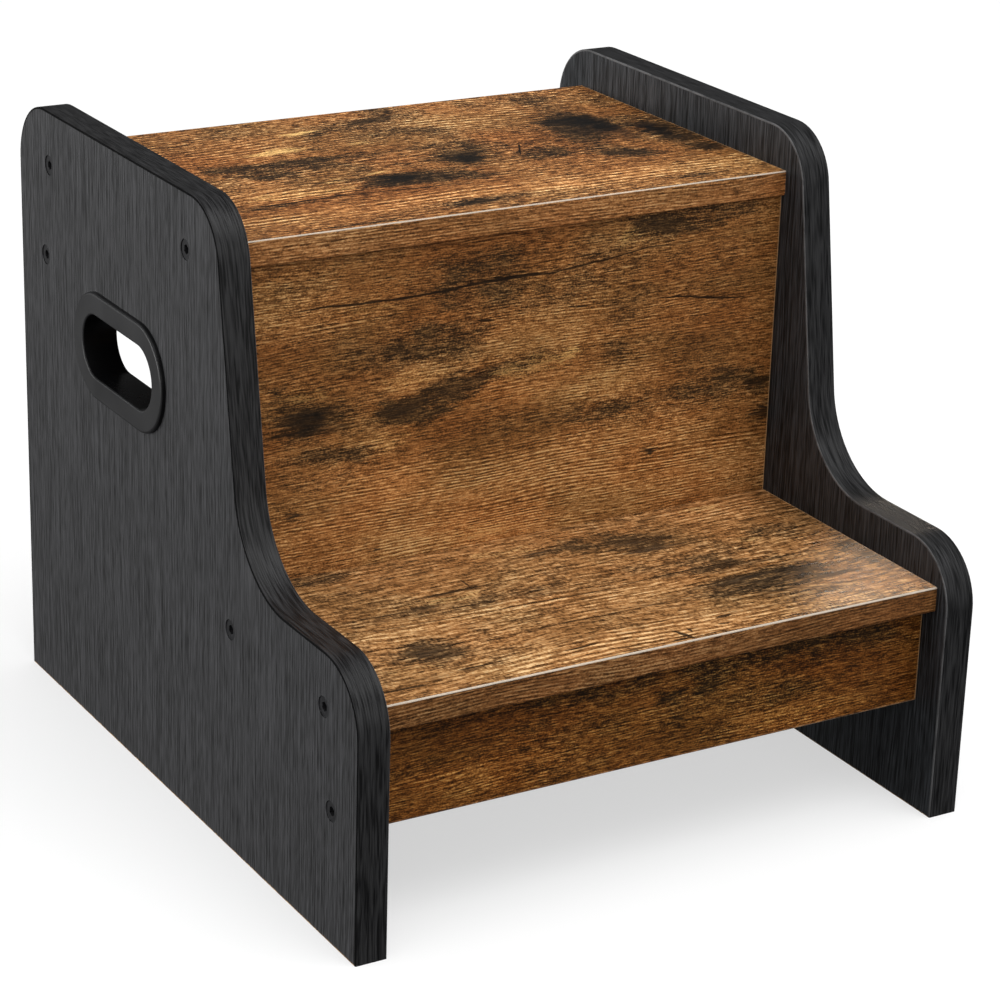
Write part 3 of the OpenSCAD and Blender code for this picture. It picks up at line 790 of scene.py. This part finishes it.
def round_side_band(side, materials):
    """The band round a side panel: rounded arrises, and painted seam shade on the panel's outer face.
    """
    node = "side_edging_" + side
    mesh = welded_copy(node)
    panel = bmesh.new()
    panel.from_mesh(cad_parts["side_panel_" + side].data)
    surface = BVHTree.FromBMesh(panel)
    panel.free()
    faces_x = (min(v.co.x for v in mesh.verts), max(v.co.x for v in mesh.verts))

    def rims():
        """The long edges of the band's outer side, without the ones that stand on the floor."""
        found = []
        for edge in mesh.edges:
            ends = [vertex.co for vertex in edge.verts]
            if abs(ends[0].x - ends[1].x) > NEAR:
                continue
            if min(abs(ends[0].x - x) for x in faces_x) > NEAR:
                continue
            gap = surface.find_nearest((ends[0] + ends[1]) / 2)[3]
            along_floor = max(end.z for end in ends) < NEAR
            if not along_floor and gap > BAND_T / 2:
                found.append(edge)
        return found

    round_edges(mesh, rims(), ARRIS_R)
    mesh.normal_update()
    # Faces on the panel's outer face take slot 1, the painted seam shade
    for face in mesh.faces:
        middle_x = abs(face.calc_center_median().x)
        if middle_x > PANEL_OUT_X * MM - SEAM_SHADE_WIDTH and abs(face.normal.x) > 0.5:
            face.material_index = 1
    finish_piece(mesh, node + "_rounded", node, materials)


def dress(node, material):
    """Gives a CAD node that keeps its shape its finished material."""
    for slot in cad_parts[node].material_slots:
        slot.material = material


def middle(node, axis):
    """The middle of a node's box along an axis, in millimetres."""
    low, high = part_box(node)
    return (low[axis] + high[axis]) / 2 * PER_METRE


# (node, upright, place in the print, gain per colour, contrast, roughness, marks)
BOARDS = [
    ("top_tread", False, 10.0, (1.12, 1.36, 1.72), 1.3, 0.38, TOP_TREAD_MARKS),
    ("lower_tread", False, 55.0, (1.38, 1.53, 1.72), 1.0, 0.30, LOWER_TREAD_MARKS),
    ("tall_riser", True, 101.0, (1.02, 1.02, 0.96), 1.04, 0.34, TALL_RISER_MARKS),
    # The front riser's lower gains are painted shade for the weaker light near the floor, under the
    # lower tread
    ("front_riser", True, 160.0, (0.64, 0.67, 0.55), 1.25, 0.36, FRONT_RISER_MARKS),
    ("back_rail", True, 222.0, (1.0, 1.0, 1.0), 1.0, 0.36, {}),
]


def dress_boards():
    for node, upright, seed, cast, contrast, roughness, marks in BOARDS:
        side = middle(node, 1 if upright else 2)
        wood = rustic_wood(node + "_print", upright, seed, cast, contrast, roughness, marks, side)
        dress(node, wood)


def band_material(node, upright, seed, tone, edge_at, width, strength):
    """edge_at picks the corner of the band's section that carries the pale line: 0 for the low and
    1 for the high side, first across the grain and then through the band."""
    low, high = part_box(node)
    corners = (low * PER_METRE, high * PER_METRE)
    across_axis, deep_axis = (2, 1) if upright else (1, 2)
    across = corners[edge_at[0]][across_axis]
    deep = corners[edge_at[1]][deep_axis]
    return rustic_band(node + "_print", seed, tone, across, deep, upright, width, strength)


FRONT, BACK, DOWN = (0, -1, 0), (0, 1, 0), (0, 0, -1)
# (node, outward, upright, place in the print, tone, pale corner, pale line's width and strength)
BANDS = [
    ("top_tread_front_edging", FRONT, True, 300.0, 1.2, (1, 0), 0.6, 0.65),
    ("top_tread_back_edging", BACK, True, 320.0, 1.0, (1, 1), 0.5, 0.6),
    # This band is toned darker than the top tread's: painted shade for the weaker light near the floor
    ("lower_tread_front_edging", FRONT, True, 340.0, 0.8, (1, 0), 0.75, 0.7),
    ("tall_riser_edging", DOWN, False, 360.0, 1.0, (0, 0), 0.4, 0.4),
    ("front_riser_edging", DOWN, False, 380.0, 0.9, (0, 0), 0.4, 0.5),
    ("back_rail_edging", DOWN, False, 400.0, 1.0, (0, 0), 0.4, 0.4),
]


def make_bands():
    for node, outward, upright, seed, tone, edge_at, width, strength in BANDS:
        material = band_material(node, upright, seed, tone, edge_at, width, strength)
        round_straight_band(node, outward, material)


def dress_black_parts():
    laminate, bands, plastic = black_laminate(), [black_band(), seam_shadow()], moulded_plastic()
    for side in ("left", "right"):
        dress("side_panel_" + side, laminate)
        round_side_band(side, bands)
        dress("handle_grommet_" + side, plastic)


def dress_fixings():
    steel, beech = black_steel(), beech_dowel()
    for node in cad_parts:
        if node.endswith("_screws"):
            dress(node, steel)
        if node.endswith("_dowels"):
            dress(node, beech)


# ---------------------------------------------------------------- studio
FLOOR_HALF = 30.0
FLOOR_ROUGHNESS = 0.9
FLOOR_PAINT = (0.44, 0.44, 0.44, 1.0)
FLOOR_GLOW = 0.55


def make_floor():
    """A plain pale floor, seen only from above, so that the underside can be looked at too."""
    mesh = bpy.data.meshes.new("floor")
    corners = [(-1, -1), (1, -1), (1, 1), (-1, 1)]
    places = [(x * FLOOR_HALF, y * FLOOR_HALF, 0) for x, y in corners]
    mesh.from_pydata(places, [], [(0, 1, 2, 3)])
    floor = bpy.data.objects.new("floor", mesh)
    bpy.context.scene.collection.objects.link(floor)
    material = bpy.data.materials.new("floor_paint")
    material.use_nodes = True
    graph = Graph(material.node_tree)
    shader = material.node_tree.nodes["Principled BSDF"]
    shader.inputs["Base Color"].default_value = FLOOR_PAINT
    shader.inputs["Emission Color"].default_value = (1.0, 1.0, 1.0, 1.0)
    shader.inputs["Emission Strength"].default_value = FLOOR_GLOW
    shader.inputs["Roughness"].default_value = FLOOR_ROUGHNESS
    shader.inputs["Specular IOR Level"].default_value = 0.0
    clear = graph.add("ShaderNodeBsdfTransparent").outputs[0]
    behind = graph.add("ShaderNodeNewGeometry").outputs["Backfacing"]
    either = graph.add("ShaderNodeMixShader", {0: behind, 1: shader.outputs[0], 2: clear})
    surface = material.node_tree.nodes["Material Output"].inputs["Surface"]
    graph.put(surface, either.outputs[0])
    mesh.materials.append(material)
    floor.visible_glossy = False
    floor.visible_diffuse = False


def aim(thing, target):
    direction = Vector(target) - thing.location
    thing.rotation_euler = direction.to_track_quat("-Z", "Y").to_euler()


def soft_light(name, place, target, width, height, power):
    data = bpy.data.lights.new(name, "AREA")
    data.shape = "RECTANGLE"
    data.size = width
    data.size_y = height
    data.energy = power
    light = bpy.data.objects.new(name, data)
    bpy.context.scene.collection.objects.link(light)
    light.location = place
    light.visible_camera = False
    aim(light, target)


WORLD_SEEN = 1.0
WORLD_ABOVE = 0.88
WORLD_BELOW = 0.03
WORLD_REFLECTED = 0.07
# Half the height of the blend between above and below
WORLD_BLEND = 0.1
STOOL_MIDDLE = (0.0, 0.0, 0.14)
LOWER_TREAD_END = (0.118, -0.164, 0.112)
LEFT_PANEL_LOW = (-0.16, 0.0, 0.1)
WARM_LIGHT = (1.0, 0.84, 0.68)


def make_world():
    """White to the camera, bright from above, and dark from below and in reflections."""
    world = bpy.data.worlds.new("studio")
    world.use_nodes = True
    graph = Graph(world.node_tree)
    background = world.node_tree.nodes["Background"]
    ray = graph.add("ShaderNodeLightPath").outputs
    up = graph.split(graph.add("ShaderNodeTexCoord").outputs["Generated"])[2]
    light = graph.span(up, -WORLD_BLEND, WORLD_BLEND, WORLD_BELOW, WORLD_ABOVE)
    light = graph.mix(ray["Is Glossy Ray"], light, (WORLD_REFLECTED,) * 3 + (1.0,))
    light = graph.mix(ray["Is Camera Ray"], light, (WORLD_SEEN,) * 3 + (1.0,))
    graph.put(background.inputs["Color"], light)
    background.inputs["Strength"].default_value = 1.0
    bpy.context.scene.world = world


def snooted_spot(name, place, target, radius, width, power):
    """A warm spotlight that casts no shadows, with a beam only width metres across at its target."""
    data = bpy.data.lights.new(name, "SPOT")
    data.energy = power
    data.color = WARM_LIGHT
    data.shadow_soft_size = radius
    data.spot_blend = 1.0
    data.use_shadow = False
    light = bpy.data.objects.new(name, data)
    bpy.context.scene.collection.objects.link(light)
    light.location = place
    data.spot_size = 2 * math.atan(width / 2 / (Vector(target) - light.location).length)
    light.visible_camera = False
    aim(light, target)


def make_lights():
    soft_light("top_softbox", (0.2, -0.75, 2.1), STOOL_MIDDLE, 1.8, 1.8, 25.0)
    soft_light("left_low_strip", (-3.4, 1.2, 0.24), LEFT_PANEL_LOW, 4.3, 0.44, 96.0)
    soft_light("front_fill", (0.2, -2.4, 0.9), STOOL_MIDDLE, 1.6, 1.0, 9.4)
    snooted_spot("back_right_spot", (1.12, 1.2, 0.89), LOWER_TREAD_END, 0.03, 0.05, 13.0)


# Camera: turned about the stool's middle line, tilted down and rolled a little
AZIMUTH, ELEVATION, ROLL = -30.87, 21.14, 1.76
DISTANCE = 1.5238
LENS = 112.54
SENSOR = 36.0
CLIP_NEAR, CLIP_FAR = 0.05, 200.0
# The point it looks at, from the origin along its own right and up
AIM_RIGHT, AIM_UP = 0.0122, 0.1135


def make_camera():
    azimuth, elevation, roll = (math.radians(a) for a in (AZIMUTH, ELEVATION, ROLL))
    back = Vector((
        math.sin(azimuth) * math.cos(elevation),
        -math.cos(azimuth) * math.cos(elevation),
        math.sin(elevation),
    ))
    level_right = (-back).cross(Vector((0, 0, 1))).normalized()
    level_up = level_right.cross(-back)
    right = level_right * math.cos(roll) + level_up * math.sin(roll)
    up = level_up * math.cos(roll) - level_right * math.sin(roll)
    data = bpy.data.cameras.new("camera")
    data.lens = LENS
    data.sensor_width = SENSOR
    data.clip_start = CLIP_NEAR
    data.clip_end = CLIP_FAR
    camera = bpy.data.objects.new("camera", data)
    bpy.context.scene.collection.objects.link(camera)
    place = right * AIM_RIGHT + up * AIM_UP + back * DISTANCE
    turn = Matrix((right, up, back)).transposed().to_4x4()
    camera.matrix_world = Matrix.Translation(place) @ turn
    bpy.context.scene.camera = camera


def main():
    bpy.context.scene.view_settings.view_transform = "Standard"
    make_camera()
    make_world()
    make_lights()
    make_floor()
    dress_boards()
    make_bands()
    dress_black_parts()
    dress_fixings()


main()
